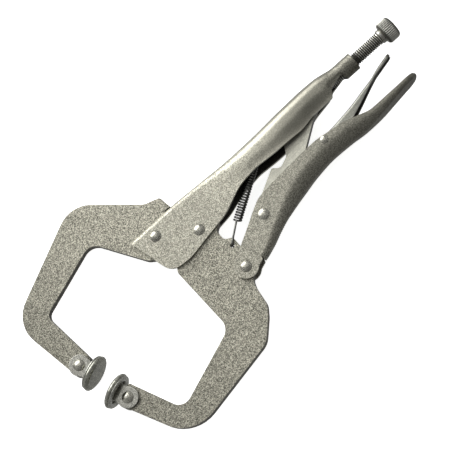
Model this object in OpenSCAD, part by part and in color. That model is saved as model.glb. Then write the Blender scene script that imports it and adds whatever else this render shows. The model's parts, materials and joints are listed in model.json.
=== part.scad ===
// Locking C-clamp pliers with swivel pads, lying on their side, jaws locked.
// Layout plane: x runs back along the handle, y towards the handle's spine,
// z across the tool, with the jaw pivot at x = 0, y = 0.

/* [Tool] */
// Thickness of the two forged jaw arms
arm_t = 5; // [4.4:0.1:5.2]
// Thickness of the handle and lever sheet
sheet = 1.8; // [1.5:0.1:1.8]
// Side gap between an arm and the sheet walls
side_gap = 0.15; // [0.1:0.05:0.3]
// Thickness of the toggle link
link_t = 4.4; // [3.6:0.1:4.6]

/* [Swivel pads] */
// Outside diameter of a pad
pad_d = 22; // [21.5:0.5:24]
// Height of the rolled rim of a pad
rim_h = 4.4; // [3.6:0.2:4.6]
// Distance from a pad's rivet to the middle of its rim
pad_reach = 9.1; // [9:0.1:10]

/* [Adjusting screw] */
// Outside diameter of the screw thread
screw_d = 8; // [7.6:0.1:8]
// Thread pitch
pitch = 1.25; // [1:0.05:1.5]
// Diameter of the knurled knob
knob_d = 14.2; // [13:0.2:15]
// Length of the knurled knob
knob_l = 8.4; // [8:0.2:10]

/* [Rivets] */
// Shank diameter of the large rivets
rivet_d = 5; // [4.4:0.1:5.2]
// Head diameter of the large rivets
head_d = 7.2; // [6.8:0.1:7.6]
// Shank diameter of the pad rivets and the release pivot
small_rivet_d = 3.6; // [3:0.1:4]

/* [Hidden] */
$fn = 64;

// Colours
nickel = [0.66, 0.65, 0.60];
dark_nickel = [0.48, 0.48, 0.46];
thread_grey = [0.40, 0.40, 0.34];

// Pivots in the layout plane
fixed_rivet_at = [-21.6, 15.2];
lever_at = [6.2, -35.8];
link_at = [33.9, -20.0];
release_at = [88.5, -11.9];
fixed_pad_at = [-104, -12.4];
moving_pad_at = [-94.2, -46.6];
hook_at = [8.2, -20.2];
// Lean of the pads' clamping axis from the layout y axis
pad_lean = 21;

// Place of the layout plane's origin in the part's own frame
origin_shift = [-24.4, 11.5, pad_d / 2];

// Fits
fit_gap = 0.05;
wall_in = arm_t / 2 + side_gap;
wall_out = wall_in + sheet;

// Handle and screw stations along x
spine_y = 23.5;
slot_end = -7.6;
screw_y = 15;
screw_tip = 112;
barrel_from = 112;
barrel_to = 133.6;
barrel_d = 11.3;
collar_from = 153.8;
knob_from = 156.3;
heel_at = [103.6, 14.6];
heel_r = 4.6;

// ---- helpers -------------------------------------------------------------

function unit(v) = v / norm(v);

// Points of an arc round c, from angle a to angle b
function arc(c, r, a, b, n = 16) =
    [for (i = [0:n]) c + r * [cos(a + (b - a) * i / n), sin(a + (b - a) * i / n)]];

// One outline corner [x, y, radius], rounded between its neighbours
function corner(before, here, after) =
    let (
        p = [here[0], here[1]],
        u = unit([before[0], before[1]] - p),
        v = unit([after[0], after[1]] - p),
        half = acos(max(-1, min(1, u * v))) / 2,
        r = here[2]
    )
    r == 0 || half > 89.5 ? [p] :
    let (
        c = p + unit(u + v) * r / sin(half),
        s = p + u * r / tan(half) - c,
        a = atan2(s[1], s[0]),
        turn = (u[0] * v[1] - u[1] * v[0] > 0 ? -1 : 1) * (180 - 2 * half),
        n = max(2, ceil(abs(turn) / 9))
    )
    [for (i = [0:n]) c + r * [cos(a + turn * i / n), sin(a + turn * i / n)]];

// Closed outline from corners [x, y, radius]
function outline(corners) =
    let (n = len(corners))
    [for (i = [0:n - 1]) each corner(corners[(i + n - 1) % n], corners[i], corners[(i + 1) % n])];

// Open run of corners between two end points, which only set the run's end directions
function run(corners) =
    [for (i = [1:len(corners) - 2]) each corner(corners[i - 1], corners[i], corners[i + 1])];

// The point at angle a on a circle of radius r round c
function on(c, r, a) = c + r * [cos(a), sin(a)];

// Smooth curve through knots [x, value] that never overshoots them
function rise(k, i) = (k[i + 1][1] - k[i][1]) / (k[i + 1][0] - k[i][0]);
function tangent(k, i) =
    i == 0 || i == len(k) - 1 ? 0 :
    let (a = rise(k, i - 1), b = rise(k, i))
    a * b <= 0 ? 0 : 2 * a * b / (a + b);
function span(k, x, i = 0) = i >= len(k) - 2 || x < k[i + 1][0] ? i : span(k, x, i + 1);
function at(k, x) =
    let (
        i = span(k, x),
        w = k[i + 1][0] - k[i][0],
        t = max(0, min(1, (x - k[i][0]) / w))
    )
    k[i][1] * (1 + 2 * t) * (1 - t) * (1 - t) + k[i + 1][1] * t * t * (3 - 2 * t)
    + w * (tangent(k, i) * t * (1 - t) * (1 - t) + tangent(k, i + 1) * t * t * (t - 1));

// Half of a channel's section, from its open edge to the middle of its spine, as [y, z]
wall_steps = 6;
fold_steps = 6;
function half_section(spine, open, belly, edge, fold) =
    let (top = spine - fold)
    concat(
        [for (i = [0:wall_steps])
            let (s = i / wall_steps, blend = (1 - cos(180 * min(1, s * 1.3))) / 2)
            [open + (top - open) * s, edge + (belly - edge) * blend]],
        [for (i = [1:fold_steps])
            let (a = 90 * i / fold_steps)
            [top + fold * sin(a), belly - fold + fold * cos(a)]]
    );
function both_sides(half) =
    concat(half, [for (i = [len(half) - 1:-1:0]) [half[i][0], -half[i][1]]]);

// Folded sheet channel. Each station is [x, spine, open edge, belly, edge, fold].
module folded_sheet(stations, t) {
    rings = [for (s = stations)
        let (
            outer = both_sides(half_section(s[1], s[2], s[3], s[4], s[5])),
            inner = both_sides(half_section(s[1] - t, s[2], s[3] - t, s[4] - t, max(0.4, s[5] - t)))
        )
        concat(
            [for (p = outer) [s[0], p[0], p[1]]],
            [for (i = [len(inner) - 1:-1:0]) [s[0], inner[i][0], inner[i][1]]]
        )];
    m = len(rings[0]);
    half = m / 2;
    last = (len(rings) - 1) * m;
    polyhedron(
        points = [for (r = rings) each r],
        faces = concat(
            [for (k = [0:len(rings) - 2]) for (j = [0:m - 1])
                let (a = k * m + j, b = k * m + (j + 1) % m)
                each [[a, b, a + m], [b, b + m, a + m]]],
            [for (j = [0:half - 2])
                let (a = j, b = j + 1, c = m - 2 - j, d = m - 1 - j)
                each [[a, c, b], [a, d, c]]],
            [for (j = [0:half - 2])
                let (a = last + j, b = last + j + 1, c = last + m - 2 - j, d = last + m - 1 - j)
                each [[a, b, c], [a, c, d]]]
        ),
        convexity = 8
    );
}

module plate(points, thick) {
    translate([0, 0, -thick / 2])
        linear_extrude(thick)
            polygon(points);
}

module cross_bore(p, d, reach = 40) {
    translate([p[0], p[1], -reach / 2])
        cylinder(d = d + 2 * fit_gap, h = reach);
}

// Domed rivet across the tool, gripping from -half_grip to half_grip
module rivet(p, half_grip, d, head, dome = 1.5) {
    ball = (head * head / 4 + dome * dome) / (2 * dome);
    translate([p[0], p[1], 0]) {
        translate([0, 0, -half_grip - 0.2])
            cylinder(d = d, h = 2 * half_grip + 0.4);
        for (side = [0, 1])
            mirror([0, 0, side])
                translate([0, 0, half_grip])
                    rotate_extrude()
                        polygon(concat([[0, 0]], [for (i = [0:6])
                            let (a = asin(head / 2 / ball) * (1 - i / 6))
                            [i == 6 ? 0 : ball * sin(a), dome - ball + ball * cos(a)]]));
    }
}

module placed(colour) {
    color(colour)
        translate(origin_shift)
            children();
}

// ---- handle --------------------------------------------------------------

handle_x = [-37, -20, -4, 8, 14, 19, 24, 29, 34, 39, 44, 50, 56, 62, 68, 74, 80, 85, 90,
    94, 98, 102, 106, 110, 113, 116, 119, 123];
handle_spine = [[-40, spine_y], [-10, spine_y], [6, 23], [22, 22], [40, 20.8], [57, 21], [82, 22.2],
    [98, 22.9], [108, 22.7], [113, 22], [121, 20.65], [124, 20.65]];
handle_open = [[-40, -14], [10, -12], [30, -4], [60, -1], [120, -1]];
handle_belly = [[-40, wall_out], [12, wall_out], [26, 6.4], [41, 8.7], [52, 9.2], [76, 9.2],
    [92, 8.3], [103, 7.3], [112, 6.5], [121, 5.65], [124, 5.65]];
handle_edge = [[-40, wall_out], [12, wall_out], [26, 6.2], [41, 8.5], [52, 8.8], [70, 8.5],
    [83, 6.9], [92, 5.6], [101, 5], [124, 5]];
handle_fold = [[-40, 2.2], [12, 2.2], [30, 5], [50, 7.4], [92, 7.4], [104, 6.6], [113, 6.1], [121, 5.6],
    [124, 5.6]];

handle_side = outline([
    [-35.6, 30, 0], [-34.6, 22, 0], [-30.6, 2, 8], [-27.6, -8.4, 9], [-14, -9.4, 12], [18.5, -3.6, 30],
    [34, 2.2, 30],
    [48, 3.9, 15], [62, 2.9, 30], [84, 2.7, 15], [93, 4.8, 10], [109.4, 5.2, 2.5], [112.4, 10, 2],
    [122, 12.5, 0], [122, 30, 0]
]);
// The far wall's front corner is trimmed back
far_trim = outline([
    [-50, -20, 0], [-8, -20, 0], [-8, -8.4, 0], [-19, -8.6, 6], [-29.4, -1.5, 8], [-35, 22, 0], [-50, 22, 0]
]);

module handle_channel() {
    placed(nickel)
        difference() {
            union() {
                intersection() {
                    folded_sheet([for (x = handle_x)
                        [x, at(handle_spine, x), at(handle_open, x), at(handle_belly, x),
                            at(handle_edge, x), at(handle_fold, x)]], sheet);
                    plate(handle_side, 24);
                }
                translate([barrel_from, screw_y, 0])
                    rotate([0, 90, 0])
                        cylinder(d = barrel_d, h = barrel_to - barrel_from);
            }
            translate([104, screw_y, 0])
                rotate([0, 90, 0])
                    cylinder(d = screw_d + 2 * fit_gap, h = 40);
            translate([-45, spine_y - 6, -wall_in])
                cube([45 + slot_end, 12, 2 * wall_in]);
            translate([0, 0, -8])
                linear_extrude(8)
                    polygon(far_trim);
            cross_bore(fixed_rivet_at, rivet_d);
            cross_bore([0, 0], rivet_d);
        }
}

// ---- jaws ----------------------------------------------------------------

hub_r = 12;
eye_edge = 6.6;
arm_end_r = 5.8;
hub_clear = 15.6;
heel_y = spine_y + 0.4;

fixed_jaw_side = concat(
    run([
        [slot_end, heel_y], [-3.7, heel_y, 0.5], [-4.8, 32.2, 2], [-14.3, 35.6, 7], [-47.7, 67.4, 19],
        [-118.4, 33.7, 20], on(fixed_pad_at, arm_end_r, 188)
    ]),
    arc(fixed_pad_at, arm_end_r, 188, 340, 20),
    run([
        on(fixed_pad_at, arm_end_r, 340), [-96.4, -13.6, 1.5], [-100.7, 24.2, 5], [-53.7, 40.4, 8.5],
        [-34.5, 7.8, 6], [-26, 1.6, 2], on([0, 0], hub_clear, 165)
    ]),
    arc([0, 0], hub_clear, 165, 118, 8),
    [[slot_end - 0.4, 14.5], [slot_end - 0.4, heel_y]]
);

module fixed_jaw() {
    placed(nickel)
        difference() {
            plate(fixed_jaw_side, arm_t);
            cross_bore(fixed_rivet_at, rivet_d);
            cross_bore(fixed_pad_at, small_rivet_d);
        }
}

moving_jaw_side = concat(
    arc([0, 0], hub_r, 148, -22, 24),
    run([
        on([0, 0], hub_r, -22), [7, -7, 2.5], [7, -14.2, 3], [11.6, -16.6, 2.5], [11.6, -23.8, 3],
        on(lever_at, eye_edge, 50)
    ]),
    arc(lever_at, eye_edge, 50, -30, 8),
    run([
        on(lever_at, eye_edge, -30), [4, -43.8, 5], [2.2, -48.5, 8], [0.6, -60.5, 8], [-3.6, -66.2, 8],
        [-14.5, -77.2, 12], [-81.2, -89.8, 23], [-96.8, -50.6, 0]
    ]),
    arc(moving_pad_at, arm_end_r, 215, 60, 20),
    run([
        on(moving_pad_at, arm_end_r, 60), [-89, -39.4, 1.5], [-73.9, -73.4, 7.5], [-24.9, -55.5, 8],
        [-26, -9.6, 5.5], on([0, 0], hub_r, 148)
    ])
);

module moving_jaw() {
    placed(nickel)
        difference() {
            plate(moving_jaw_side, arm_t);
            cross_bore([0, 0], rivet_d);
            cross_bore(lever_at, rivet_d);
            cross_bore(moving_pad_at, small_rivet_d);
            cross_bore(hook_at, 2.6);
        }
}

// ---- lever and link ------------------------------------------------------

lug_r = 7.4;
lever_x = [-6, 6, 15.6, 16.8, 22, 27, 32, 37, 42, 48, 54, 60, 67, 74, 81, 88, 95, 102, 108,
    114, 120, 126, 132, 138, 143, 147, 150, 152, 153.6];
// The spine starts behind the lugs; ahead of it only the two flat lugs are left
lever_spine = [[15.6, 54], [16.8, 39.6], [25, 37], [34, 33.2], [45, 29.4], [60, 25.6], [73, 22.9],
    [86, 21.6], [98, 22], [110, 23], [122, 22.4], [133, 21], [143, 19.7], [154, 18.4]];
lever_belly = [[16, wall_out], [24, 4.9], [30, 5.7], [38, 5.7], [50, 7.8], [62, 8.9], [102, 8.9], [116, 7.6],
    [135, 6.6], [147, 6.1], [151, 4.7], [153.6, 2.6]];
lever_fold = [[16, 3.2], [34, 5], [60, 8.2], [102, 8.2], [120, 4.6], [135, 3.8], [153.6, 2.4]];
lever_sheet = 1.6;

lever_side = concat(
    arc(lever_at, lug_r, 118, 318, 20),
    run([
        on(lever_at, lug_r, 318), [13.2, -38.8, 1], [17, -39.6, 0], [17, -54, 0], [155, -34, 0],
        [154, -15.4, 1.6], [143, -16.4, 20], [119.5, -16.8, 14], [103, -11.6, 16], [84, -8.6, 40],
        [37.6, -10.2, 12], on(lever_at, lug_r, 118)
    ])
);

module lever_channel() {
    placed(nickel)
        difference() {
            intersection() {
                mirror([0, 1, 0])
                    folded_sheet([for (x = lever_x)
                        [x, at(lever_spine, x), 6, at(lever_belly, x), at(lever_belly, x),
                            at(lever_fold, x)]], lever_sheet);
                plate(lever_side, 24);
            }
            cross_bore(lever_at, rivet_d);
            cross_bore(link_at, rivet_d);
            cross_bore(release_at, small_rivet_d);
        }
}

eye_r = 6.6;
link_side = concat(
    arc(link_at, eye_r, 122, 295, 20),
    run([on(link_at, eye_r, 295), [76.3, -6.9, 20], [91.7, 3.7, 14], on(heel_at, heel_r, -50)]),
    arc(heel_at, heel_r, -50, 110, 16),
    run([
        on(heel_at, heel_r, 110), [88, 17.2, 10], [71.5, 7.6, 8], [66.3, -1.6, 3], [59.2, -4.6, 3.2],
        [55.2, -1.0, 1.1], on(link_at, eye_r, 122)
    ])
);

module toggle_link() {
    placed(nickel)
        difference() {
            plate(link_side, link_t);
            cross_bore(link_at, rivet_d);
        }
}

release_x = [76, 80, 84, 88, 92, 96, 100, 105, 110, 115, 120, 124, 128, 132, 136, 140, 144, 147,
    149, 150.6];
release_spine = [[76, -9.6], [84, -8.2], [96, -7.8], [103, -7], [113, -5.6], [119, -4.3], [126, -2.6],
    [133, -1.2], [140, 1.3], [147, 3.1], [151, 4]];
release_half = [[76, 4.4], [112, 4.2], [120, 3.9], [127, 3.5], [133, 3.2], [145, 2.9],
    [150.6, 2.5]];
release_sheet = 1.5;
release_side = outline([
    [74.5, -9, 1.5], [76.5, -16, 1.5], [88.5, -18.4, 6], [104, -14.2, 6], [118.5, -8.6, 10],
    [128.5, -4.4, 6], [136, -1.5, 10], [150, 1.6, 1], [152, 6, 0], [100, 0, 0], [76, -4, 0]
]);

module release_lever() {
    placed(dark_nickel)
        difference() {
            intersection() {
                folded_sheet([for (x = release_x)
                    [x, at(release_spine, x), -26, at(release_half, x), at(release_half, x),
                        min(1.9, at(release_half, x) * 0.9)]], release_sheet);
                plate(release_side, 24);
            }
            cross_bore(release_at, small_rivet_d);
        }
}

// ---- screw ---------------------------------------------------------------

module adjusting_screw() {
    turns = floor((collar_from - screw_tip - 1) / pitch);
    depth = 0.6 * pitch;
    r = screw_d / 2;
    placed(thread_grey)
        translate([screw_tip, screw_y, 0])
            rotate([0, 90, 0]) {
                rotate_extrude()
                    polygon(concat(
                        [[0, 0], [r - depth, 0]],
                        [for (i = [0:turns - 1]) each [
                            [r, 0.3 + (i + 0.35) * pitch], [r, 0.3 + (i + 0.5) * pitch],
                            [r - depth, 0.3 + (i + 0.95) * pitch]]],
                        [[r - depth, collar_from - screw_tip], [0, collar_from - screw_tip]]
                    ));
                translate([0, 0, collar_from - screw_tip])
                    cylinder(d = 9, h = knob_from - collar_from);
            }
}

module screw_knob() {
    ridges = 36;
    knurl = 0.4;
    chamfer = 1.4;
    end_r = knob_d / 2 - knurl - 0.2;
    placed(dark_nickel)
        translate([knob_from, screw_y, 0])
            rotate([0, 90, 0]) {
                rotate_extrude()
                    polygon([
                        [0, 0], [end_r - chamfer, 0], [end_r, chamfer],
                        [end_r, knob_l - chamfer], [end_r - chamfer, knob_l], [0, knob_l]
                    ]);
                translate([0, 0, chamfer])
                    linear_extrude(knob_l - 2 * chamfer)
                        polygon([for (i = [0:2 * ridges - 1])
                            let (a = 180 * i / ridges)
                            (knob_d / 2 - (i % 2) * knurl) * [cos(a), sin(a)]]);
            }
}

// ---- spring --------------------------------------------------------------

spring_d = 4.6;
wire_d = 0.9;
spring_from = [8.8, -17.4];
spring_angle = 32.4;
coil_from = 13;
coil_to = 50;
spring_len = 60;
hook_z = arm_t / 2 + 0.7;

module return_spring() {
    placed(thread_grey) {
        translate([spring_from[0], spring_from[1], 0])
            rotate([0, 0, spring_angle])
                rotate([0, 90, 0]) {
                    translate([0, 0, coil_from])
                        cylinder(d = spring_d, h = coil_to - coil_from);
                    translate([0, 0, coil_to - 1])
                        cylinder(d = wire_d, h = spring_len - coil_to + 1);
                }
        // straight end of the wire, from the coil's near side over the lobe of the moving jaw
        straight = on(spring_from, coil_from + 1, spring_angle) - hook_at;
        translate([hook_at[0], hook_at[1], hook_z])
            rotate([0, 0, atan2(straight[1], straight[0])])
                rotate([0, 90 + atan2(hook_z - spring_d / 2 + wire_d, norm(straight)), 0])
                    translate([0, 0, -wire_d / 2])
                        cylinder(d = wire_d, h = norm(straight) + wire_d / 2);
        // hook through the hole
        translate([hook_at[0], hook_at[1], -hook_z])
            cylinder(d = wire_d, h = 2 * hook_z);
    }
}

// ---- rivets --------------------------------------------------------------

module fixed_jaw_rivet() {
    placed(nickel) rivet(fixed_rivet_at, wall_out, rivet_d, head_d);
}

module jaw_pivot_rivet() {
    placed(nickel) rivet([0, 0], wall_out, rivet_d, head_d);
}

module lever_pivot_rivet() {
    placed(nickel) rivet(lever_at, wall_out, rivet_d, head_d);
}

module link_pivot_rivet() {
    placed(nickel) rivet(link_at, at(lever_belly, link_at[0]), rivet_d, head_d, 1.1);
}

module release_pivot_rivet() {
    placed(nickel) rivet(release_at, at(lever_belly, release_at[0]), small_rivet_d, 5.4, 1);
}

// ---- swivel pads ---------------------------------------------------------

ear_in = arm_t / 2 + 0.2;
ear_t = 1.5;
rim_r = rim_h / 2;
well_r = pad_d / 2 - rim_h;
floor_h = pad_reach + rim_r - 1.8;
face_h = pad_reach + rim_r;

// Puts a pad piece drawn round its rivet, with its axis along +y, on its arm
module on_arm(p, facing) {
    translate([p[0], p[1], 0])
        rotate([0, 0, facing])
            children();
}

module pad_disc() {
    rotate([-90, 0, 0])
        rotate_extrude()
            polygon(concat(
                [[0, floor_h], [well_r, floor_h]],
                arc([pad_d / 2 - rim_r, pad_reach], rim_r, -180, 90, 18),
                [[0, face_h]]
            ));
}

module pad_yoke() {
    foot_w = 9.6;
    for (side = [0, 1])
        mirror([0, 0, side])
            translate([0, 0, ear_in])
                difference() {
                    linear_extrude(ear_t)
                        union() {
                            circle(r = 6.4);
                            polygon([
                                [-foot_w / 2, floor_h], [-foot_w / 2, 6.4], [-5.9, 2.4],
                                [5.9, 2.4], [foot_w / 2, 6.4], [foot_w / 2, floor_h]
                            ]);
                        }
                    translate([0, 0, -1])
                        cylinder(d = small_rivet_d + 2 * fit_gap, h = ear_t + 2);
                }
    translate([-foot_w / 2, floor_h - 1.4, -ear_in - ear_t])
        cube([foot_w, 1.4, 2 * (ear_in + ear_t)]);
}

module fixed_pad() {
    placed(dark_nickel) on_arm(fixed_pad_at, 180 + pad_lean) pad_disc();
}

module fixed_pad_yoke() {
    placed(nickel) on_arm(fixed_pad_at, 180 + pad_lean) pad_yoke();
}

module fixed_pad_rivet() {
    placed(nickel) rivet(fixed_pad_at, ear_in + ear_t, small_rivet_d, head_d, 1.6);
}

module moving_pad() {
    placed(dark_nickel) on_arm(moving_pad_at, pad_lean) pad_disc();
}

module moving_pad_yoke() {
    placed(nickel) on_arm(moving_pad_at, pad_lean) pad_yoke();
}

module moving_pad_rivet() {
    placed(nickel) rivet(moving_pad_at, ear_in + ear_t, small_rivet_d, head_d, 1.6);
}

handle_channel();
fixed_jaw();
moving_jaw();
lever_channel();
toggle_link();
release_lever();
adjusting_screw();
screw_knob();
return_spring();
fixed_jaw_rivet();
jaw_pivot_rivet();
lever_pivot_rivet();
link_pivot_rivet();
release_pivot_rivet();
fixed_pad();
fixed_pad_yoke();
fixed_pad_rivet();
moving_pad();
moving_pad_yoke();
moving_pad_rivet();
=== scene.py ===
"""Locking C-clamp pliers with swivel pads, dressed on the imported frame.

Shapes are drawn in millimetres in the tool's layout plane: x runs back along the fixed handle,
y towards its spine and z across the tool, with the jaw pivot at zero.
"""
import bisect
import json
import math

import bmesh
import bpy
from mathutils import Matrix, Vector


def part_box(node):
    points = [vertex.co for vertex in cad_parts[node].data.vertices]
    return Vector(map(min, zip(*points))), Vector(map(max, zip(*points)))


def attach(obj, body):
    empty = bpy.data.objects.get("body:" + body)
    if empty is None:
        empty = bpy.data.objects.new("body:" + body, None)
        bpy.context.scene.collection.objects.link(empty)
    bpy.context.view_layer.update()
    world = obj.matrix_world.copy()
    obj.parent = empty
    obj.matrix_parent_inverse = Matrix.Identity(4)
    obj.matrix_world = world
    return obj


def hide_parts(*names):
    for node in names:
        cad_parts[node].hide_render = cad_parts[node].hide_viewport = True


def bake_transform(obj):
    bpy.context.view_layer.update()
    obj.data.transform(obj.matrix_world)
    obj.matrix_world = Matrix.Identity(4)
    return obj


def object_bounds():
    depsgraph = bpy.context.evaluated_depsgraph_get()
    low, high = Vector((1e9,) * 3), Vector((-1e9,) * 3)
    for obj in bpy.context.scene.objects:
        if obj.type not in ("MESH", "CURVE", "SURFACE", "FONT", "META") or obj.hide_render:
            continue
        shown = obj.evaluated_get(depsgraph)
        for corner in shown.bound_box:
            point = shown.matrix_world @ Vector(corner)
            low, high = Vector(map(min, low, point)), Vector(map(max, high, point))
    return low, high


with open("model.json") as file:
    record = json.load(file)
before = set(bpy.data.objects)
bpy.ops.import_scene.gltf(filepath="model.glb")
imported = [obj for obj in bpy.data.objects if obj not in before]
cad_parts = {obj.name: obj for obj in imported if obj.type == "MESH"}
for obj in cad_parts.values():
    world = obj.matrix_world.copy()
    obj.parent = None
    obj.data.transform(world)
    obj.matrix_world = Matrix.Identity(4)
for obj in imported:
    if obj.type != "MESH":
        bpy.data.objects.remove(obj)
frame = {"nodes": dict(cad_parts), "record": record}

CAD_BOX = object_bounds()
MM = 0.001

# ---- places from the frame ------------------------------------------------

JOINTS = {joint["name"]: joint for joint in frame["record"]["behaviour"]["joints"]}
FACES = {mount["name"]: mount["pos_m"] for mount in frame["record"]["mounts"]}
ORIGIN = Vector(JOINTS["jaw_swing"]["pos_m"])


def layout(point):
    """A point of the row frame, in the layout plane's millimetres."""
    return (Vector(point) - ORIGIN) / MM


def pivot(joint):
    return layout(JOINTS[joint]["pos_m"])


def span(node):
    """Lowest and highest corner of a CAD node, in the layout plane's millimetres."""
    low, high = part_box(node)
    return layout(low), layout(high)


LEVER_PIN = pivot("lever_swing")
SCREW_LOW, SCREW_HIGH = span("adjusting_screw")
KNOB_LOW, KNOB_HIGH = span("screw_knob")
SCREW_Y = (SCREW_LOW.y + SCREW_HIGH.y) / 2
BARREL_END = span("handle_channel")[1].x
ARM_HALF = span("moving_jaw")[1].z

# ---- small helpers --------------------------------------------------------

# Millimetres by which two places on the spine may differ and still count as one
TINY = 0.01


def mix(a, b, t):
    return a + (b - a) * t


def clamp(t):
    return max(0.0, min(1.0, t))


def ease(t):
    t = clamp(t)
    return t * t * (3 - 2 * t)


def curve(*knots):
    """A smooth function through (x, value) knots that never overshoots them."""
    xs, ys = zip(*knots)
    rises = [(ys[i + 1] - ys[i]) / (xs[i + 1] - xs[i]) for i in range(len(xs) - 1)]
    inner = [2 * a * b / (a + b) if a * b > 0 else 0.0 for a, b in zip(rises, rises[1:])]
    slopes = [0.0] + inner + [0.0]

    def value(x):
        i = max(0, min(len(rises) - 1, bisect.bisect_right(xs, x) - 1))
        w = xs[i + 1] - xs[i]
        t = clamp((x - xs[i]) / w)
        level = ys[i] * (1 + 2 * t) * (1 - t) ** 2 + ys[i + 1] * t * t * (3 - 2 * t)
        return level + w * (slopes[i] * t * (1 - t) ** 2 + slopes[i + 1] * t * t * (t - 1))

    return value


def rounded(corners, step=6):
    """Points of an open run of corners (x, y, radius), a step in degrees apart round each arc.
    The first and last are plain end points."""
    points = [Vector(corners[0][:2])]
    for before, here, after in zip(corners, corners[1:], corners[2:]):
        p = Vector(here[:2])
        u = (Vector(before[:2]) - p).normalized()
        v = (Vector(after[:2]) - p).normalized()
        half = u.angle(v) / 2
        straight = half > math.radians(89)
        if here[2] == 0 or straight:
            points.append(p)
            continue
        centre = p + (u + v).normalized() * here[2] / math.sin(half)
        first = p + u * here[2] / math.tan(half) - centre
        turn = math.pi - 2 * half
        if u.x * v.y - u.y * v.x > 0:
            turn = -turn
        count = max(2, math.ceil(abs(math.degrees(turn)) / step))
        for i in range(count + 1):
            points.append(centre + Matrix.Rotation(turn * i / count, 2) @ first)
    points.append(Vector(corners[-1][:2]))
    return points


def circle_run(centre, radius, start, end, count=16):
    """Points round a centre from one angle to another, in degrees."""
    angles = [math.radians(mix(start, end, i / count)) for i in range(count + 1)]
    return [Vector((centre.x + radius * math.cos(a), centre.y + radius * math.sin(a))) for a in angles]


def along(points):
    """Function that gives the point at a share 0 to 1 of a polyline's length."""
    lengths = [0.0]
    for a, b in zip(points, points[1:]):
        lengths.append(lengths[-1] + (b - a).length)

    def point(share):
        target = share * lengths[-1]
        i = max(0, min(len(points) - 2, bisect.bisect_right(lengths, target) - 1))
        part = lengths[i + 1] - lengths[i]
        return points[i].lerp(points[i + 1], (target - lengths[i]) / part if part else 0.0)

    return point


def height_at(points):
    """Function that gives a polyline's y at an x, for a polyline that runs towards +x."""
    xs = [p.x for p in points]

    def value(x):
        i = max(0, min(len(points) - 2, bisect.bisect_right(xs, x) - 1))
        w = points[i + 1].x - points[i].x
        share = clamp((x - points[i].x) / w) if w > 1e-9 else 0.0
        return mix(points[i].y, points[i + 1].y, share)

    return value


def steps(start, end, size):
    """Even places from start, up to but without end, about a size apart."""
    count = max(1, round((end - start) / size))
    return [mix(start, end, i / count) for i in range(count)]


# ---- pieces ---------------------------------------------------------------

# Millimetres within which the split corners of a CAD mesh are joined
WELD = 0.002
# The second material of a piece, as an index
SECOND = 1


def piece(name, bm, body, material, node=None):
    """Turns a bmesh drawn in layout millimetres into a piece that rides on a body."""
    bm.transform(Matrix.Translation(ORIGIN) @ Matrix.Scale(MM, 4))
    bmesh.ops.recalc_face_normals(bm, faces=bm.faces)
    mesh = bpy.data.meshes.new(name)
    bm.to_mesh(mesh)
    bm.free()
    mesh.shade_smooth()
    mesh.materials.append(material)
    obj = bpy.data.objects.new(name, mesh)
    bpy.context.scene.collection.objects.link(obj)
    if node:
        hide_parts(node)
    if body:
        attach(obj, body)
    return obj


def soften(obj, width, segments=2, angle=32, weld=False):
    """Rounds an object's sharp edges and keeps its flat faces flat."""
    if weld:
        obj.modifiers.new("weld", "WELD").merge_threshold = WELD * MM
    bevel = obj.modifiers.new("edges", "BEVEL")
    bevel.width = width * MM
    bevel.segments = segments
    bevel.limit_method = "ANGLE"
    bevel.angle_limit = math.radians(angle)
    bevel.use_clamp_overlap = True
    bevel.miter_outer = "MITER_ARC"
    obj.modifiers.new("normals", "WEIGHTED_NORMAL").keep_sharp = False


def grid(bm, rows, closed=False, skip=None):
    """Quads between rows of points. Closed rows join their last point to their first.
    skip(row, column) says which quads are left out."""
    verts = [[bm.verts.new(p) for p in row] for row in rows]
    width = len(rows[0])
    for i in range(len(rows) - 1):
        for j in range(width if closed else width - 1):
            k = (j + 1) % width
            if not (skip and skip(i, j)):
                bm.faces.new((verts[i][j], verts[i][k], verts[i + 1][k], verts[i + 1][j]))
    return verts


def tube(bm, path, radius, sides=10):
    """A round wire along a path, whose ends come to a low point."""
    path = [Vector(p) for p in path]
    rows = []
    normal = None
    for i, p in enumerate(path):
        ahead = path[min(i + 1, len(path) - 1)] - path[max(i - 1, 0)]
        ahead.normalize()
        if normal is None:
            normal = ahead.orthogonal().normalized()
        normal = (normal - ahead * normal.dot(ahead)).normalized()
        side = ahead.cross(normal)
        ring = [2 * math.pi * k / sides for k in range(sides)]
        rows.append([p + radius * (math.cos(a) * normal + math.sin(a) * side) for a in ring])
    verts = grid(bm, rows, closed=True)
    for ring, sign in ((verts[0], -1), (verts[-1], 1)):
        centre = sum((v.co for v in ring), Vector()) / sides
        way = (path[1] - path[0]) if sign < 0 else (path[-1] - path[-2])
        tip = bm.verts.new(centre + way.normalized() * sign * radius * 0.5)
        for k in range(sides):
            bm.faces.new((ring[k], ring[(k + 1) % sides], tip))


def lathe(bm, profile, start, sides=64, ripple=None, root=0.0):
    """A body turned about the x axis through start. The profile is (along x, radius) from end to end.
    ripple(x, angle, radius) is added to the radius. Where it cuts in deeper than root, faces take
    the second material, except in the three steps of the profile nearest to each end."""
    rows = []
    for x, r in profile:
        row = []
        for k in range(sides):
            a = 2 * math.pi * k / sides
            reach = r + (ripple(x, a, r) if ripple else 0.0)
            row.append(Vector((start.x + x, start.y + reach * math.cos(a), start.z + reach * math.sin(a))))
        rows.append(row)
    verts = grid(bm, rows, closed=True)
    for ring in (verts[0], verts[-1]):
        bm.faces.new(ring)
    if root:
        reach = max(r for x, r in profile) - root
        first, last = profile[2][0], profile[-4][0]
        for face in bm.faces:
            middle = face.calc_center_median()
            off = math.hypot(middle.y - start.y, middle.z - start.z)
            if len(face.verts) == 4 and off < reach and first < middle.x - start.x < last:
                face.material_index = SECOND


# ---- folded channels ------------------------------------------------------

# Steps of a section up its wall and round its fold
WALL = 9
FOLD = 9
MIDDLE = WALL + FOLD + 1
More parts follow.
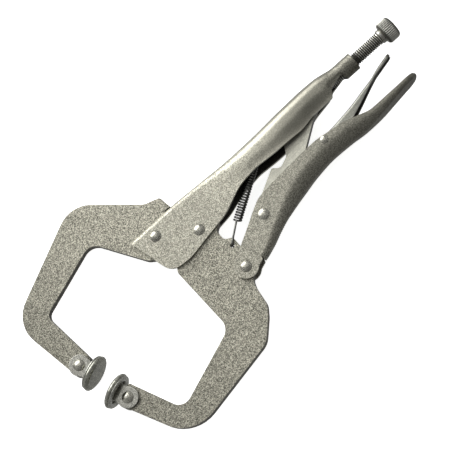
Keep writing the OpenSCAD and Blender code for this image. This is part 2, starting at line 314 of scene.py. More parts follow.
# The fold takes at most this share of the wall's height
FOLD_SHARE = 0.8
# The wall has widened from lip to belly at 1 / FLARE of its height
FLARE = 1.3
# From here back the screw's barrel limits the sheet
BARREL_MIN = 106.0


def half_section(edge, x, shape, up):
    """One wall of a channel, from its open edge over the fold to the middle of its spine."""
    spine, belly = shape["spine"](x), shape["belly"](x)
    fold = min(shape["fold"](x), FOLD_SHARE * abs(spine - edge.y), belly)
    top = spine - up * fold
    points = []
    for i in range(WALL + 1):
        v = i / WALL
        px = mix(edge.x, x, v)
        flare = (1 - math.cos(math.pi * min(1.0, FLARE * v))) / 2
        z = mix(shape["lip"](px), shape["belly"](px), flare)
        points.append(Vector((px, mix(edge.y, top, v), z)))
    for i in range(1, FOLD + 1):
        a = math.pi / 2 * i / FOLD
        points.append(Vector((x, top + up * fold * math.sin(a), belly - fold + fold * math.cos(a))))
    points.append(Vector((x, spine, 0.0)))
    return points


def channel(name, body, material, node, xs, shape, near, far, up, thick, cut, reshape=None, bore=0.0,
            tip=None, edge_r=0.65, painted_shade_from=-40):
    """A sheet folded round a spine, with a section at each of xs. shape holds the curves that give
    its spine, belly, lip and fold. near and far give the open edge's point for a place on the spine,
    up is the side that the spine is on, and reshape(x, section) may change a section.
    cut(x) is how many columns are left out on each side of the middle, for a slot through the spine.
    The lining is painted dark, as shade, from the place given last back."""
    rows = []
    for x in xs:
        front = half_section(near(x), x, shape, up)
        back = half_section(far(x), x, shape, up)
        if reshape:
            front, back = reshape(x, front), reshape(x, back)
        rows.append(front + [Vector((p.x, p.y, -p.z)) for p in reversed(back[:-1])])
    bm = bmesh.new()
    grid(bm, rows, skip=lambda i, j: MIDDLE - cut(xs[i]) <= j < MIDDLE + cut(xs[i]))
    bmesh.ops.delete(bm, geom=[v for v in bm.verts if not v.link_faces], context="VERTS")
    thicken(bm, thick, bore, tip, painted_shade_from)
    obj = piece(name, bm, body, material, node)
    obj.data.materials.append(MATERIALS["painted_shade"])
    soften(obj, edge_r, angle=48)


# At a closed tip the sheet's thickness starts from this blend, and grows over about this length
TIP_SHARE = 0.15
TIP_TAPER = 4.0


def thicken(bm, thick, bore, tip, painted_shade_from):
    """Gives an open surface its sheet thickness inwards, towards z = 0 and away from its spine.
    Inner points stay outside the screw's bore, and the sheet thins out towards a closed tip."""
    bmesh.ops.recalc_face_normals(bm, faces=bm.faces)
    bm.normal_update()
    widest = max(bm.faces, key=lambda f: f.calc_center_median().z)
    if widest.normal.z < 0:
        bmesh.ops.reverse_faces(bm, faces=bm.faces)
        bm.normal_update()
    inner = {}
    rims = [e for e in bm.edges if len(e.link_faces) == 1]
    outer_faces = list(bm.faces)
    for v in list(bm.verts):
        share = ease(TIP_SHARE + (tip - v.co.x) / TIP_TAPER) if tip else 1.0
        p = v.co - v.normal * thick * share
        if p.z * v.co.z < 0:
            p.z = 0.0
        if bore and p.x > BARREL_MIN:
            off = Vector((p.y - SCREW_Y, p.z))
            if off.length < bore:
                off = off.normalized() * bore
                p = Vector((p.x, SCREW_Y + off.x, off.y))
        inner[v] = bm.verts.new(p)
    for f in outer_faces:
        lining = bm.faces.new([inner[v] for v in reversed(f.verts)])
        # Painted shade: the lining behind the given place takes the dark second material
        lining.material_index = SECOND if f.calc_center_median().x > painted_shade_from else 0
    for e in rims:
        a, b = e.verts
        bm.faces.new((a, b, inner[b], inner[a]))


def edge_path(points, spine_from, join):
    """The open edge as a function of a place on the spine. Before the join the edge's point goes
    round the front corner by length, and after it edge and spine share one x."""
    front = [p for p in points if p.x < join]
    y_at = height_at(points[len(front) - 1:])
    front.append(Vector((join, y_at(join))))
    corner = along(front)

    def edge(x):
        return corner((x - spine_from) / (join - spine_from)) if x < join else Vector((x, y_at(x)))

    return edge


# ---- fixed handle ---------------------------------------------------------

# Thickness of the handle's and the lever's sheet, and z of the outside of their flat walls
SHEET = 1.6
WALL_OUT = 4.45
HANDLE_FRONT = -34.9
HANDLE_JOIN = -14
# The fixed jaw's arm passes through a slot in the spine, from the front to SLOT_END, and
# SLOT_COLUMNS wide to each side
SLOT_END = -7.6
SLOT_COLUMNS = 2
SPINE_Y = 23.5
# Behind CRIMP_END the channel closes, over SWAGE_L, to a tube round the screw
CRIMP_END = 121.8
SWAGE_L = 2.4
BARREL_R = 5.65
BARREL_BORE = 4.08
SEAM_ANGLE = -88
HANDLE = {
    "spine": curve((-40, SPINE_Y), (-10, SPINE_Y), (6, 23), (22, 22), (40, 20.8), (57, 21), (82, 22.2),
                   (98, 22.9), (108, 22.7), (113, 22), (121, 20.65), (140, 20.65)),
    "belly": curve((-40, WALL_OUT), (12, WALL_OUT), (26, 6.4), (41, 8.7), (52, 9.2), (76, 9.2), (92, 8.3),
                   (103, 7.3), (112, 6.5), (121, BARREL_R), (140, BARREL_R)),
    "lip": curve((-40, WALL_OUT), (12, WALL_OUT), (26, 6.2), (41, 8.1), (52, 8.0), (70, 7.3), (83, 6.0),
                 (92, 5.0), (101, 4.6), (140, 5)),
    "fold": curve((-40, 3.3), (12, 3.5), (30, 5.6), (50, 7.6), (92, 7.4), (104, 6.6), (113, 6.1), (121, 5.6),
                  (140, 5.6)),
}
# Corners (x, y, radius) of the two walls' open edges, which share their grip and barrel
GRIP_EDGE = [(34, 2.2, 30), (48, 3.9, 15), (62, 2.9, 30), (84, 2.7, 15)]
BARREL_EDGE = [(122, 12.5, 0), (140, 12.5, 0)]
NEAR_EDGE = [(-31.2, 6, 0), (-30.6, 2, 8), (-27.6, -8.4, 9), (-14, -9.4, 12), (18.5, -3.6, 30)]
NEAR_EDGE += GRIP_EDGE + [(93, 4.8, 10), (109.4, 5.2, 2.5), (112.4, 10, 2)] + BARREL_EDGE
FAR_EDGE = [(-32.4, 12, 0), (-29.4, -1.5, 8), (-19, -8.6, 6), (18.5, -3.6, 30)]
FAR_EDGE += GRIP_EDGE + [(95, 5.6, 10), (107, 7.6, 3), (112.4, 10.5, 2)] + BARREL_EDGE


def swage(x, section):
    """Closes the channel's end to a tube round the screw, behind the open crimp."""
    share = ease((x - CRIMP_END) / SWAGE_L)
    if share == 0:
        return section
    out = []
    for i, p in enumerate(section):
        a = math.radians(mix(SEAM_ANGLE, 0, i / WALL) if i <= WALL else min(90, 90 * (i - WALL) / FOLD))
        round_point = Vector((x, SCREW_Y + BARREL_R * math.sin(a), BARREL_R * math.cos(a)))
        out.append(Vector((x, *p.lerp(round_point, share).yz)))
    out[-1].z = 0.0
    return out


def fixed_handle(material):
    near = edge_path(rounded(NEAR_EDGE), HANDLE_FRONT, HANDLE_JOIN)
    far = edge_path(rounded(FAR_EDGE), HANDLE_FRONT, HANDLE_JOIN)
    xs = steps(HANDLE_FRONT, SLOT_END, 1.4) + steps(SLOT_END, 104, 2.2) + steps(104, 126, 0.7)
    xs += steps(126, BARREL_END - 1, 1.4) + [BARREL_END - 0.5, BARREL_END]
    channel("handle_shell", "fixed_handle", material, "handle_channel",
            xs, HANDLE, near, far, up=1, thick=SHEET, reshape=swage, bore=BARREL_BORE,
            cut=lambda x: SLOT_COLUMNS if x < SLOT_END - TINY else 0)


# ---- moving lever ---------------------------------------------------------

# The lug is round about its pin, from its front to its top and its foot, in degrees. From there
# its edges run straight to LUG_END.
LUG_R = 7.4
LUG_FRONT, LUG_TOP, LUG_FOOT = 208, 118, 318
LUG_END = 16.8
LUG_FOOT_Y = -38.9
LUG_ROWS = 24
LEVER_TIP = 153.6
LEVER = {
    "spine": curve((15.6, -39.8), (16.8, -39.6), (25, -37), (34, -33.2), (45, -29.4), (60, -25.6),
                   (73, -22.9), (86, -21.6), (98, -22), (110, -23), (122, -22.4), (133, -21), (143, -19.7),
                   (151, -18.8), (153, -18.1), (154, -17.4)),
    "belly": curve((-6, WALL_OUT), (16, WALL_OUT), (24, 4.9), (30, 5.7), (38, 5.7), (50, 7.8), (62, 8.9),
                   (102, 8.9), (116, 7.6), (135, 6.6), (147, 6.1), (150.5, 5.1), (152.5, 3.5), (153.6, 1.6)),
    "fold": curve((16, 3.2), (34, 5), (60, 8.2), (102, 8.2), (120, 4.6), (135, 2.8), (153.6, 2.0)),
}
LEVER["lip"] = LEVER["belly"]


def moving_lever(material):
    lug = circle_run(LEVER_PIN, LUG_R, LUG_FRONT, LUG_TOP, 14)
    upper = rounded([tuple(lug[-1]) + (0,), (37.6, -10.2, 12), (84, -8.6, 40), (103, -11.6, 16),
                     (119.5, -16.8, 14), (143, -16.4, 20), (152, -16, 2), (LEVER_TIP + 1, -16.9, 0)])
    y_up = height_at(upper)
    over = along(lug + [Vector((LUG_END, y_up(LUG_END)))])
    foot = circle_run(LEVER_PIN, LUG_R, LUG_FRONT, LUG_FOOT, 14)
    under = along(foot + [Vector((LUG_END, LUG_FOOT_Y))])
    front = LEVER_PIN.x - LUG_R

    def edge(x):
        return over((x - front) / (LUG_END - front)) if x < LUG_END else Vector((x, y_up(x)))

    def lug_wall(x, section):
        """Flat in front of the spine: the wall runs straight from the lug's one edge to its other."""
        if x >= LUG_END - TINY:
            return section
        share = (x - front) / (LUG_END - front)
        a, b = over(share), under(share)
        wall = [Vector((*a.lerp(b, i / WALL), WALL_OUT)) for i in range(WALL + 1)]
        return wall + section[WALL + 1:]

    xs = [mix(front, LUG_END, i / LUG_ROWS) for i in range(1, LUG_ROWS)]
    xs += steps(LUG_END, 142, 2.2) + steps(142, 149, 1.2) + steps(149, LEVER_TIP, 0.5) + [LEVER_TIP]
    channel("lever_shell", "lever", material, "lever_channel",
            xs, LEVER, edge, edge, up=-1, thick=SHEET, reshape=lug_wall, tip=LEVER_TIP,
            painted_shade_from=LUG_END, cut=lambda x: FOLD + 1 if x < LUG_END - TINY else 0)


# ---- release lever --------------------------------------------------------

RELEASE_SHEET = 1.3
RELEASE_FRONT = 76
RELEASE_JOIN = 84
RELEASE_TIP = 150.4
RELEASE = {
    "spine": curve((76, -9.6), (84, -8.2), (96, -7.8), (103, -7), (113, -5.6), (119, -4.3), (126, -2.6),
                   (133, -1.2), (140, 1.3), (147, 3.1), (151, 4)),
    "belly": curve((70, 4.4), (112, 4.2), (120, 3.9), (127, 3.5), (133, 3.2), (145, 2.9), (149, 2.6),
                   (150.4, 1.6)),
    "fold": curve((70, 1.9), (133, 1.9), (150.6, 1.4)),
}
RELEASE["lip"] = RELEASE["belly"]
RELEASE_EDGE = [(75.4, -12, 0), (76.5, -16, 1.5), (88.5, -18.4, 6), (104, -14.2, 6), (118.5, -8.6, 10),
                (128.5, -4.4, 6), (136, -1.5, 10), (152, 2.1, 0)]


def release_lever(material):
    edge = edge_path(rounded(RELEASE_EDGE), RELEASE_FRONT, RELEASE_JOIN)
    xs = steps(RELEASE_FRONT, RELEASE_JOIN, 1.0) + steps(RELEASE_JOIN, 144, 2.0)
    xs += steps(144, RELEASE_TIP, 0.6) + [RELEASE_TIP]
    channel("release_shell", "release_lever", material, "release_lever",
            xs, RELEASE, edge, edge, up=1, thick=RELEASE_SHEET, tip=RELEASE_TIP, cut=lambda x: 0)


# ---- adjusting screw and knob ---------------------------------------------

PITCH = 1.25
THREAD_DEPTH = 0.85
THREAD_SLICES = 8
SCREW_R = 4.0
COLLAR_R = 4.5
COLLAR_L = 2.5
RIDGES = 36
RIDGE_DEPTH = 0.6
CHAMFER = 1.4
# Deeper than this, a groove of the thread or the knurl takes the dark painted shade
THREAD_ROOT = 0.62
KNURL_ROOT = 0.2
KNOB_R = (KNOB_HIGH.z - KNOB_LOW.z) / 2
KNOB_L = KNOB_HIGH.x - KNOB_LOW.x


def adjusting_screw(material):
    length = KNOB_LOW.x - SCREW_LOW.x
    thread_end = length - COLLAR_L
    run_out = thread_end - 0.5

    def groove(x, a, r):
        """A one-start thread with flat crests, which fades out before the collar."""
        if x > run_out or r < SCREW_R - TINY:
            return 0.0
        phase = (x / PITCH - a / (2 * math.pi)) % 1.0
        fade = min(1.0, (run_out - x) / 1.2)
        return -THREAD_DEPTH * fade * min(1.0, max(0.0, 1.25 * abs(2 * phase - 1) - 0.12))

    profile = [(0.0, SCREW_R - 1.1), (1.0, SCREW_R)]
    profile += [(x, SCREW_R) for x in steps(1.15, run_out, PITCH / THREAD_SLICES)]
    profile += [(thread_end - 0.4, SCREW_R - 0.3), (thread_end, SCREW_R - 0.3)]
    profile += [(thread_end, COLLAR_R - 0.25)]
    profile += [(thread_end + 0.3, COLLAR_R), (length - 0.1, COLLAR_R), (length, COLLAR_R - 0.1)]
    bm = bmesh.new()
    lathe(bm, profile, Vector((SCREW_LOW.x, SCREW_Y, 0)), 40, groove, THREAD_ROOT)
    obj = piece("screw_thread", bm, "screw", material, "adjusting_screw")
    obj.data.materials.append(MATERIALS["painted_shade"])


def screw_knob(material):
    def knurl(x, a, r):
        """Straight ridges that die out towards both ends."""
        if r < 1:
            return 0.0
        inset = ease((x - 0.3) / 1.2) * ease((KNOB_L - 0.3 - x) / 1.2)
        return -RIDGE_DEPTH * inset * (0.5 - 0.5 * math.cos(RIDGES * a)) ** 1.3

    chamfer_mid = KNOB_R - CHAMFER + 0.6
    profile = [(0.35, 0.6), (0.35, KNOB_R - 3.2), (0.0, KNOB_R - 2.6), (0.0, KNOB_R - CHAMFER),
               (0.35, chamfer_mid), (0.9, KNOB_R - 0.35), (CHAMFER, KNOB_R)]
    profile += [(x, KNOB_R) for x in steps(CHAMFER + 0.7, KNOB_L - CHAMFER, 0.8)]
    profile += [(KNOB_L - CHAMFER, KNOB_R), (KNOB_L - 0.9, KNOB_R - 0.35), (KNOB_L - 0.35, chamfer_mid),
                (KNOB_L, KNOB_R - CHAMFER), (KNOB_L, KNOB_R - 3.0), (KNOB_L - 0.3, KNOB_R - 3.5),
                (KNOB_L - 0.3, 0.6)]
    bm = bmesh.new()
    lathe(bm, profile, Vector((KNOB_LOW.x, SCREW_Y, 0)), RIDGES * 8, knurl, KNURL_ROOT)
    obj = piece("knob_knurled", bm, "knob", material, "screw_knob")
    obj.data.materials.append(MATERIALS["painted_shade"])


# ---- swivel pads ----------------------------------------------------------

# A pressed pad from the floor of its well, out round its back flange and rim, to its flat face.
# Each pair is (distance from the rivet along the clamping axis, radius).
PAD = [(9.4, 0.2), (9.4, 6.0), (9.0, 6.7), (7.6, 7.2), (6.95, 7.9), (6.8, 8.8), (6.95, 9.7), (7.4, 10.35),
       (7.9, 10.55), (8.15, 10.1), (8.4, 10.1), (8.6, 10.7), (9.1, 10.95), (9.6, 11.0), (10.2, 10.8),
       (10.8, 10.2), (11.15, 9.4), (11.3, 8.4), (11.3, 0.2)]
# Past this distance from the rivet a pad shows its face's darker material; the lighter one nearer the rivet
# is a painted highlight for the back flange
PAD_FACE = 8.3


def swivel_pad(pad, material):
    """A round pad whose axis runs from its rivet to its clamping face. pad names its body and node."""
    pin = pivot(pad + "_swivel")
    way = layout(FACES[pad + "_face"]) - pin
    bm = bmesh.new()
    lathe(bm, PAD, Vector(), 96)
    for f in bm.faces:
        f.material_index = SECOND if f.calc_center_median().x > PAD_FACE else 0
    turn = Matrix.Rotation(math.atan2(way.y, way.x), 4, "Z")
    bm.transform(Matrix.Translation(pin) @ turn)
    obj = piece(pad + "_disc", bm, pad, material, pad)
    obj.data.materials.append(MATERIALS["pad_face"])
    soften(obj, 0.15, angle=40)


# ---- return spring --------------------------------------------------------

# The wire hooks through the moving jaw at HOOK and ends inside the handle at SPRING_END
HOOK = Vector((8.2, -20.2, 0))
COIL_FROM = Vector((19.8, -10.4, 0))
COIL_TO = Vector((51.0, 9.4, 0))
SPRING_END = Vector((59.2, 14.6, 0))
COIL_R = 2.1
COIL_PITCH = 1.58
TURN_STEPS = 14
WIRE_R = 0.6


def return_spring(material):
    way = (COIL_TO - COIL_FROM).normalized()
    side = Vector((-way.y, way.x, 0))
    up = Vector((0, 0, 1))
    over = ARM_HALF + WIRE_R + 0.25
    hook = [(1.0, -0.9, -over - 0.3), (0.4, -0.4, -over), (0, 0, -over + 0.8), (0, 0, -1), (0, 0, 1),
            (0, 0, over - 0.8), (0.3, 0.3, over - 0.15), (0.8, 0.9, over)]
    path = [HOOK + Vector(offset) for offset in hook]
    start = COIL_FROM + up * COIL_R
    path += [path[-1].lerp(start, t) for t in (0.15, 0.5, 0.9)]
    length = (COIL_TO - COIL_FROM).length
    count = round(length / COIL_PITCH) * TURN_STEPS
    for i in range(count + 1):
        a = 2 * math.pi * i / TURN_STEPS
        centre = COIL_FROM + way * length * i / count
        path.append(centre + COIL_R * (math.cos(a) * up + math.sin(a) * side))
    path += [COIL_TO + way * 1.2 + up * 1.0, COIL_TO + way * 2.4, SPRING_END - way * 1.5, SPRING_END]
    bm = bmesh.new()
    tube(bm, path, WIRE_R, 10)
    obj = piece("spring_coil", bm, None, material, "return_spring")
    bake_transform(obj)


# ---- materials ------------------------------------------------------------


class Nodes:
    """Short spelling for building a material's nodes."""

    def __init__(self, name):
        self.material = bpy.data.materials.new(name)
        self.material.use_nodes = True
        self.tree = self.material.node_tree
        self.shader = self.tree.nodes["Principled BSDF"]
        coordinates = self.add("ShaderNodeTexCoord")
        self.place = coordinates.outputs["Object"]
        self.normal = coordinates.outputs["Normal"]

    def add(self, kind, **values):
        node = self.tree.nodes.new(kind)
        for key, value in values.items():
            setattr(node, key, value)
        return node

    def link(self, source, target):
        self.tree.links.new(source, target)

    def noise(self, grain_mm, detail=2.0, rough=0.5, stretch=(1, 1, 1)):
        """Noise 0 to 1 whose blotches are about grain_mm across, stretched along an axis."""
        place = self.add("ShaderNodeMapping")
        place.inputs["Scale"].default_value = stretch
        self.link(self.place, place.inputs["Vector"])
        node = self.add("ShaderNodeTexNoise")
        node.inputs["Scale"].default_value = 1 / (grain_mm * MM)
        node.inputs["Detail"].default_value = detail
        node.inputs["Roughness"].default_value = rough
        self.link(place.outputs["Vector"], node.inputs["Vector"])
        return node.outputs["Fac"]

    def flecks(self, grain_mm):
        """A random grey for each fleck of about grain_mm across."""
        node = self.add("ShaderNodeTexVoronoi")
        node.inputs["Scale"].default_value = 1 / (grain_mm * MM)
        self.link(self.place, node.inputs["Vector"])
        return node.outputs["Color"]

    def ramp(self, source, *stops):
        """Colours or greys at places 0 to 1."""
        node = self.add("ShaderNodeValToRGB")
        elements = node.color_ramp.elements
        while len(elements) < len(stops):
            elements.new(0.5)
        for element, (where, colour) in zip(elements, stops):
            element.position = where
            element.color = (*colour, 1) if isinstance(colour, tuple) else (colour, colour, colour, 1)
        self.link(source, node.inputs["Fac"])
        return node.outputs["Color"]

    def blend(self, factor, a, b, mode="MIX"):
        """Mixes two colours, each a number, a tuple or another node's output."""
        node = self.add("ShaderNodeMix", data_type="RGBA", blend_type=mode)
        for socket, value in ((node.inputs["Factor"], factor), (node.inputs["A"], a), (node.inputs["B"], b)):
            if isinstance(value, (int, float)):
                socket.default_value = value if socket.type == "VALUE" else (value, value, value, 1)
            elif isinstance(value, tuple):
                socket.default_value = (*value, 1)
            else:
                self.link(value, socket)
        return [s for s in node.outputs if s.type == "RGBA"][0]

    def times(self, a, b):
        return self.blend(1.0, a, b, "MULTIPLY")

    def bump(self, source, distance_mm):
        node = self.add("ShaderNodeBump")
        node.inputs["Distance"].default_value = distance_mm * MM
        node.inputs["Strength"].default_value = 1.0
        self.link(source, node.inputs["Height"])
        self.link(node.outputs["Normal"], self.shader.inputs["Normal"])

    def upright(self):
        """0 on a face that lies flat across the tool, to 1 on one that stands square to it."""
        split = self.add("ShaderNodeSeparateXYZ")
        self.link(self.normal, split.inputs["Vector"])
        lying = self.add("ShaderNodeMath", operation="ABSOLUTE")
        self.link(split.outputs["Z"], lying.inputs[0])
        node = self.add("ShaderNodeMath", operation="SUBTRACT")
        node.inputs[0].default_value = 1.0
        self.link(lying.outputs["Value"], node.inputs[1])
        return node.outputs["Value"]

    def along_x(self, pairs):
        """Greys that run through (place along the handle in layout millimetres, grey) pairs."""
        start, end = pairs[0][0], pairs[-1][0]
        split = self.add("ShaderNodeSeparateXYZ")
        self.link(self.place, split.inputs["Vector"])
        node = self.add("ShaderNodeMapRange")
        node.inputs["From Min"].default_value = ORIGIN.x + start * MM
        node.inputs["From Max"].default_value = ORIGIN.x + end * MM
        self.link(split.outputs["X"], node.inputs["Value"])
        stops = [((x - start) / (end - start), grey) for x, grey in pairs]
        return self.ramp(node.outputs["Result"], *stops)


# How much darker and lighter than the base the strongest flecks are, and their size in grains
DARK_FLECK, LIGHT_FLECK = 0.65, 1.3
FLECK_SIZE = 0.7
# Glints are this much brighter than the base, and this many grains across
GLINT, GLINT_SIZE = 2.2, 1.3
# Sizes of the brush lines and of the soft blotches, and heights of a rough and a fine bump, in mm
BRUSH_MM, BLOTCH_MM = 0.8, 12
ROUGH_BUMP, FINE_BUMP = 0.03, 0.012


def plated(name, base, grain_mm, speckle, roughness, metallic=0.9, tones=None, brush=None, glints=0.0,
           calm=None, sides=None):
    """Nickel plate: a warm grey with fine light and dark flecks and soft blotches.
    speckle is the flecks' strength, and glints is the strength of a few bright ones, 0 to 1.
    tones are (place along the tool, share 0 to 1) pairs that shade it from end to end.
    calm has such pairs too: by that share the flecks die down and the plate turns glossier.
    sides is the share of the tone left on the cut edges and folds, which stand upright: painted shade.
    brush is the stretch of the fine lines of a brushed plate, by axis."""
    n = Nodes(name)
    n.shader.inputs["Metallic"].default_value = metallic
    fine = n.noise(grain_mm, detail=2.0, rough=0.6)
    dark = tuple(c * (1 - DARK_FLECK * speckle) for c in base)
    light = tuple(min(1.0, c * (1 + LIGHT_FLECK * speckle)) for c in base)
    flecks = n.flecks(FLECK_SIZE * grain_mm)
    colour = n.ramp(flecks, (0.24, dark), (0.42, base), (0.58, base), (0.76, light))
    if glints:
        spots = n.noise(GLINT_SIZE * grain_mm, detail=2.0, rough=0.8)
        spots = n.ramp(spots, (0.6, 0.0), (0.67, glints))
        colour = n.blend(spots, colour, tuple(min(1.0, GLINT * c) for c in base))
    gloss = n.ramp(fine, (0.35, roughness + 0.12), (0.65, roughness - 0.1))
    if calm:
        rest = n.along_x(calm)
        colour = n.blend(rest, colour, base)
        gloss = n.blend(rest, gloss, roughness - 0.14)
    if tones:
        colour = n.times(colour, n.along_x(tones))
    if sides:
        # Painted shade: faces that stand upright, cut edges and folds, are darkened by the sides share
        colour = n.times(colour, n.ramp(n.upright(), (0.25, 1.0), (0.7, sides)))
    if brush:
        lines = n.noise(BRUSH_MM, detail=4.0, stretch=brush)
        colour = n.blend(0.6, colour, n.ramp(lines, (0.35, 0.72), (0.65, 1.0)), "MULTIPLY")
    colour = n.times(colour, n.ramp(n.noise(BLOTCH_MM, detail=1.0), (0.3, 0.88), (0.7, 0.98)))
    n.link(colour, n.shader.inputs["Base Color"])
    n.link(gloss, n.shader.inputs["Roughness"])
    n.bump(fine, ROUGH_BUMP if speckle > 0.5 and not calm else FINE_BUMP)
    return n.material


def spring_steel():
    n = Nodes("spring_wire")
    n.shader.inputs["Metallic"].default_value = 1.0
    tone = n.ramp(n.noise(1.5, detail=4.0), (0.35, (0.09, 0.09, 0.085)), (0.7, (0.24, 0.24, 0.22)))
    n.link(tone, n.shader.inputs["Base Color"])
    n.link(n.ramp(n.noise(0.7), (0.3, 0.22), (0.7, 0.38)), n.shader.inputs["Roughness"])
    return n.material


NICKEL = (0.39, 0.378, 0.314)
FORGED = (0.348, 0.336, 0.276)
OLIVE = (0.88, 0.86, 0.74)
# Shares of a tone or of calm at places along the tool
HANDLE_TONES = [(-40, 0.84), (10, 0.82), (45, 1.0), (62, 1.0), (85, 0.76), (108, 0.6), (118, 0.48),
                (136, 0.42)]
HANDLE_CALM = [(28, 0.0), (70, 0.75), (104, 0.75), (118, 0.2)]
LEVER_TONES = [(-10, 0.78), (50, 0.7), (90, 0.66), (155, 0.45)]
LEVER_CALM = [(20, 0.0), (80, 0.4), (150, 0.4)]
JAW_TONES = [(-110, 0.54), (-80, 0.64), (-20, 0.76)]
RELEASE_TONES = [(76, 1.0), (118, 0.85), (135, 0.55), (152, 0.45)]
# Painted shadow on the screw: a dark ring just outside the barrel's mouth, and painted shade on the collar
# by the knob
SCREW_PAINTED_SHADE = [(133, 1.0), (134.2, 0.08), (136.2, 0.08), (137.2, 1.0), (153, 1.0), (154.2, 0.4)]

MATERIALS = {
    "sheet": plated("nickel_sheet", NICKEL, 0.54, 0.75, 0.42, tones=HANDLE_TONES, glints=0.8,
                    calm=HANDLE_CALM),
    "lever_sheet": plated("nickel_sheet_lever", NICKEL, 0.54, 0.8, 0.45, tones=LEVER_TONES, glints=0.5,
                          calm=LEVER_CALM, sides=0.7),
    # Painted shade: a near-black copy of the plate for the channels' linings and the grooves of thread and
    # knurl
    "painted_shade": plated("nickel_painted_shade", (0.09, 0.088, 0.075), 0.8, 0.3, 0.6),
    "forging": plated("nickel_forging", FORGED, 0.58, 1.0, 0.48, tones=JAW_TONES, glints=1.0,
                      sides=0.42),
    "link": plated("link_steel", (0.56, 0.55, 0.47), 0.5, 0.15, 0.42, brush=(0.15, 1, 1),
                   sides=0.3),
    "release": plated("release_steel", (0.32, 0.32, 0.28), 0.5, 0.25, 0.38, tones=RELEASE_TONES,
                      brush=(0.2, 1, 1)),
    "thread": plated("thread_steel", OLIVE, 0.7, 0.3, 0.14, tones=SCREW_PAINTED_SHADE),
    "knob": plated("knob_steel", (0.53, 0.53, 0.475), 0.5, 0.3, 0.22),
    "rivet": plated("rivet_steel", (0.38, 0.372, 0.32), 0.5, 0.45, 0.24, metallic=1.0),
    "yoke": plated("yoke_steel", (0.32, 0.315, 0.28), 0.7, 0.4, 0.28, sides=0.5),
    # The pad's back is a lighter copy of the face's steel: painted highlight
    "pad": plated("pad_steel", (0.44, 0.44, 0.4), 0.8, 0.3, 0.2),
    "pad_face": plated("pad_steel_face", (0.33, 0.33, 0.285), 1.5, 0.3, 0.24),
    "spring": spring_steel(),
}

# ---- carried-over forgings, link, rivets and yokes ------------------------

# The material of each CAD node that stays, and the width of its softened edges
CARRIED = {
    "fixed_jaw": ("forging", 0.35),
    "moving_jaw": ("forging", 0.35),
    "toggle_link": ("link", 0.35),
    "fixed_jaw_rivet": ("rivet", 0.15),
    "jaw_pivot_rivet": ("rivet", 0.15),
    "lever_pivot_rivet": ("rivet", 0.15),
    "link_pivot_rivet": ("rivet", 0.15),
    "release_pivot_rivet": ("rivet", 0.12),
    "fixed_pad_yoke": ("yoke", 0.25),
    "fixed_pad_rivet": ("rivet", 0.15),
    "moving_pad_yoke": ("yoke", 0.25),
    "moving_pad_rivet": ("rivet", 0.15),
}


def dress_carried_nodes():
    for node, (material, edge) in CARRIED.items():
        obj = frame["nodes"][node]
        for slot in obj.material_slots:
            slot.material = MATERIALS[material]
        obj.data.shade_smooth()
        soften(obj, edge, weld=True)


# ---- stage, light and camera ----------------------------------------------

FLOOR_GAP = 0.0002
FLOOR_GLOW = 0.86
# From the middle of the CAD box to the point that the camera aims at, in millimetres
AIM_SHIFT = Vector((-11.4, 4.5, 0))


def stage():
    """A white floor that glows a little, so that the photo's plain white ground stays white."""
    n = Nodes("floor_paper")
    n.shader.inputs["Roughness"].default_value = 0.9
    paper = n.ramp(n.noise(60), (0.3, (0.93, 0.93, 0.925)), (0.7, (0.95, 0.95, 0.945)))
    n.link(paper, n.shader.inputs["Base Color"])
    n.link(paper, n.shader.inputs["Emission Color"])
    n.shader.inputs["Emission Strength"].default_value = FLOOR_GLOW
    bm = bmesh.new()
    bmesh.ops.create_grid(bm, x_segments=8, y_segments=8, size=3.0)
    mesh = bpy.data.meshes.new("floor")
    bm.to_mesh(mesh)
    bm.free()
    mesh.materials.append(n.material)
    floor = bpy.data.objects.new("floor", mesh)
    floor.location.z = CAD_BOX[0][2] - FLOOR_GAP
    # Kept out of reflections, so that round pieces keep their dark edges
    floor.visible_glossy = False
    bpy.context.scene.collection.objects.link(floor)


def softbox(name, aim, offset, size, power):
    """A rectangular lamp that hangs at an offset from the aim and faces it."""
    light = bpy.data.lights.new(name, "AREA")
    light.shape = "RECTANGLE"
    light.size, light.size_y = size
    light.energy = power
    lamp = bpy.data.objects.new(name, light)
    lamp.location = aim + Vector(offset)
    lamp.rotation_euler = (-Vector(offset)).to_track_quat("-Z", "Y").to_euler()
    bpy.context.scene.collection.objects.link(lamp)


def camera(aim):
    """Looks down at the tool from its lever side, rolled so that the handle runs up to the right."""
    tilt, roll, distance = math.radians(19.7), math.radians(42.08), 0.930
    back = Vector((0, -math.sin(tilt), math.cos(tilt)))
    right = Vector((1, 0, 0))
    up = back.cross(right)
    turned_right = math.cos(roll) * right - math.sin(roll) * up
    turned_up = math.sin(roll) * right + math.cos(roll) * up
    data = bpy.data.cameras.new("camera")
    data.sensor_width = 36
    data.lens = 127.84
    cam = bpy.data.objects.new("camera", data)
    turn = Matrix((turned_right, turned_up, back)).transposed().to_4x4()
    cam.matrix_world = Matrix.Translation(aim + back * distance) @ turn
    bpy.context.scene.collection.objects.link(cam)
    bpy.context.scene.camera = cam


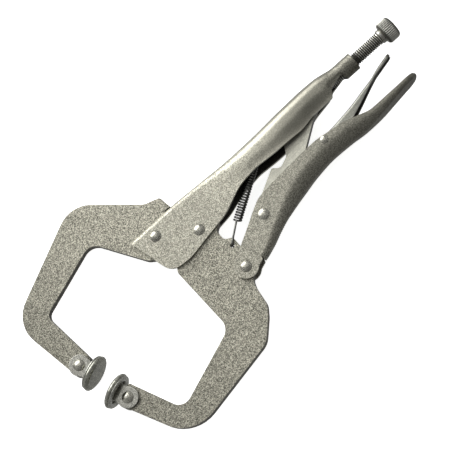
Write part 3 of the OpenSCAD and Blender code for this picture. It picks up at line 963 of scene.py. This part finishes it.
def studio_walls(strength):
    """Pale walls, darker towards the ground and on the lever's side, and bright on the spine's side."""
    world = bpy.data.worlds.new("studio")
    world.use_nodes = True
    tree = world.node_tree
    place = tree.nodes.new("ShaderNodeTexCoord")
    split = tree.nodes.new("ShaderNodeSeparateXYZ")
    tree.links.new(place.outputs["Generated"], split.inputs["Vector"])

    def shade(axis, start, end, low, high):
        """Runs from low to high as a direction's part along an axis goes from start to end."""
        node = tree.nodes.new("ShaderNodeMapRange")
        for name, value in (("From Min", start), ("From Max", end), ("To Min", low), ("To Max", high)):
            node.inputs[name].default_value = value
        tree.links.new(split.outputs[axis], node.inputs["Value"])
        return node.outputs["Result"]

    def merge(operation, a, b):
        node = tree.nodes.new("ShaderNodeMath")
        node.operation = operation
        tree.links.new(a, node.inputs[0])
        tree.links.new(b, node.inputs[1])
        return node.outputs["Value"]

    lever_side = shade("Y", -0.75, 0.35, 0.42, 1.0)
    ground = shade("Z", -0.3, 0.35, 0.6, 1.0)
    spine_side = shade("Y", 0.45, 0.8, 0.0, 1.3)
    level = merge("MAXIMUM", merge("MINIMUM", lever_side, ground), spine_side)
    tree.links.new(level, tree.nodes["Background"].inputs["Color"])
    tree.nodes["Background"].inputs["Strength"].default_value = strength
    bpy.context.scene.world = world


def light_and_view():
    centre = (Vector(CAD_BOX[0]) + Vector(CAD_BOX[1])) / 2
    aim = centre + AIM_SHIFT * MM
    camera(aim)
    studio_walls(0.6)
    softbox("key", aim, (-0.15, 0.95, 0.55), (1.2, 0.9), 14)
    softbox("top", aim, (0.0, 0.45, 1.25), (1.0, 0.8), 1.4)
    bpy.context.scene.view_settings.view_transform = "Standard"


# ---- the whole tool -------------------------------------------------------

fixed_handle(MATERIALS["sheet"])
moving_lever(MATERIALS["lever_sheet"])
release_lever(MATERIALS["release"])
adjusting_screw(MATERIALS["thread"])
screw_knob(MATERIALS["knob"])
return_spring(MATERIALS["spring"])
swivel_pad("fixed_pad", MATERIALS["pad"])
swivel_pad("moving_pad", MATERIALS["pad"])
dress_carried_nodes()
stage()
light_and_view()
